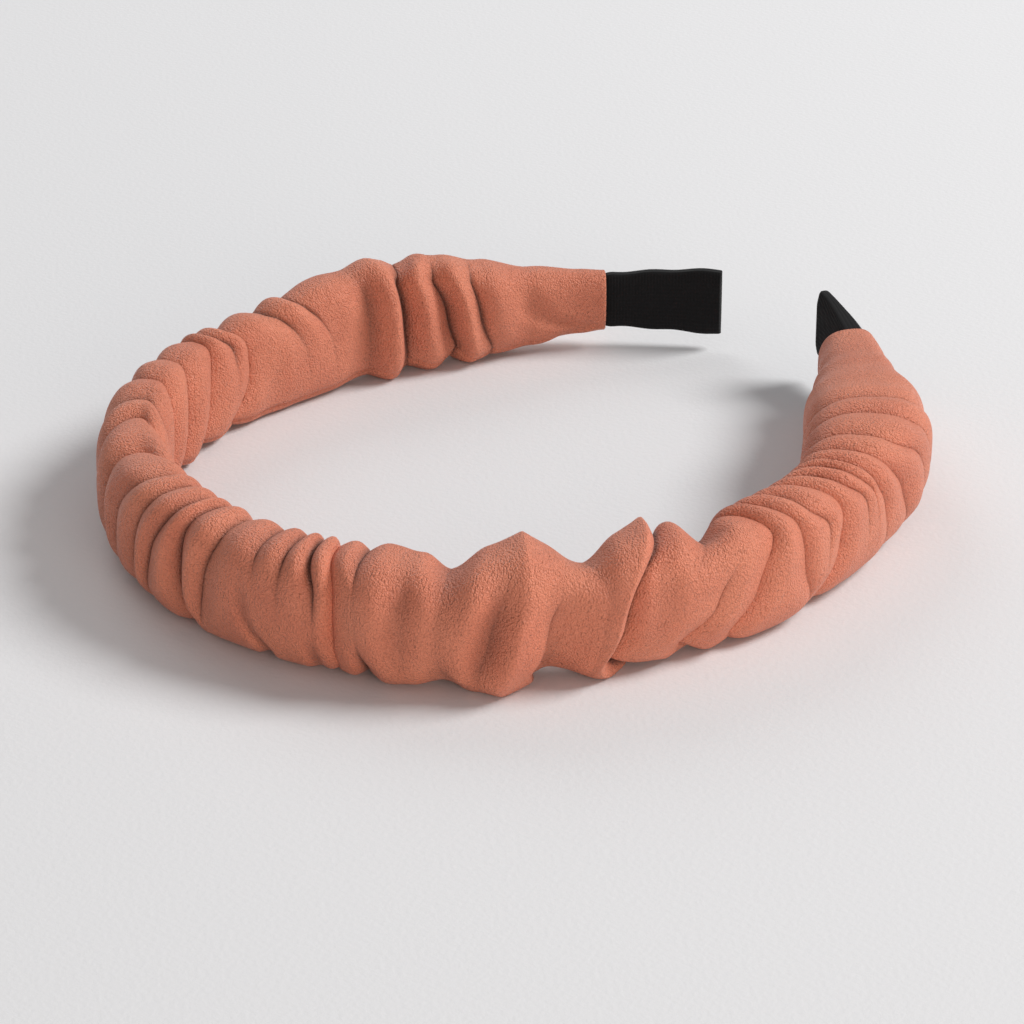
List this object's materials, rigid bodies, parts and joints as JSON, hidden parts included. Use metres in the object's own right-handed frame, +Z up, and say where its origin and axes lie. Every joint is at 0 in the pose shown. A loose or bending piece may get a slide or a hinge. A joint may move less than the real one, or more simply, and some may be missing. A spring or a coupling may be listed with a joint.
{
  "type": "spa headband",
  "caption": "Springy hoop headband on edge: padded plastic core in a gathered faux-leather sleeve, black ribbon ends, open at the back.",
  "frame": {"origin": "on the table, under the middle of the hoop's box", "axes": "+Z up from the lower edge to the upper edge, +Y from the crown to the open ends, +X towards the right arm"},
  "size_m": [0.139, 0.1586, 0.021],
  "materials": {
    "coral_leather": "satin pebbled faux leather, coral",
    "black_ribbon": "ribbed grosgrain, black",
    "core_plastic": "moulded polypropylene, black",
    "foam": "open-cell sponge, off-white",
    "tape": "double-sided tissue tape",
    "coral_thread": "polyester sewing thread, coral",
    "black_thread": "polyester sewing thread, black",
    "glue": "hot-melt glue, cloudy amber"
  },
  "bodies": {
    "hoop": {"hoop_core": "core_plastic", "outer_foam_tape": "tape", "inner_foam_tape": "tape", "outer_foam": "foam", "inner_foam": "foam", "ruched_sleeve": "coral_leather", "sleeve_seam_thread": "coral_thread"},
    "left_tip": {"left_end_ribbon": "black_ribbon", "left_ribbon_glue": "glue", "left_cuff_stitches": "black_thread"},
    "right_tip": {"right_end_ribbon": "black_ribbon", "right_ribbon_glue": "glue", "right_cuff_stitches": "black_thread"}
  },
  "joints": [
    {"name": "left_arm_spread", "type": "hinge", "parent": "hoop", "child": "left_tip", "pos_m": [0, -0.07247, 0.0105], "axis": [0, 0, 1], "range_deg": [-2, 12], "stiffness_Nm_per_rad": 2.2, "deforming": ["hoop_core", "outer_foam_tape", "inner_foam_tape", "outer_foam", "inner_foam", "ruched_sleeve", "sleeve_seam_thread"]},
    {"name": "right_arm_spread", "type": "hinge", "parent": "hoop", "child": "right_tip", "pos_m": [0, -0.07247, 0.0105], "axis": [0, 0, -1], "range_deg": [-2, 12], "stiffness_Nm_per_rad": 2.2, "deforming": ["hoop_core", "outer_foam_tape", "inner_foam_tape", "outer_foam", "inner_foam", "ruched_sleeve", "sleeve_seam_thread"]}
  ]
}
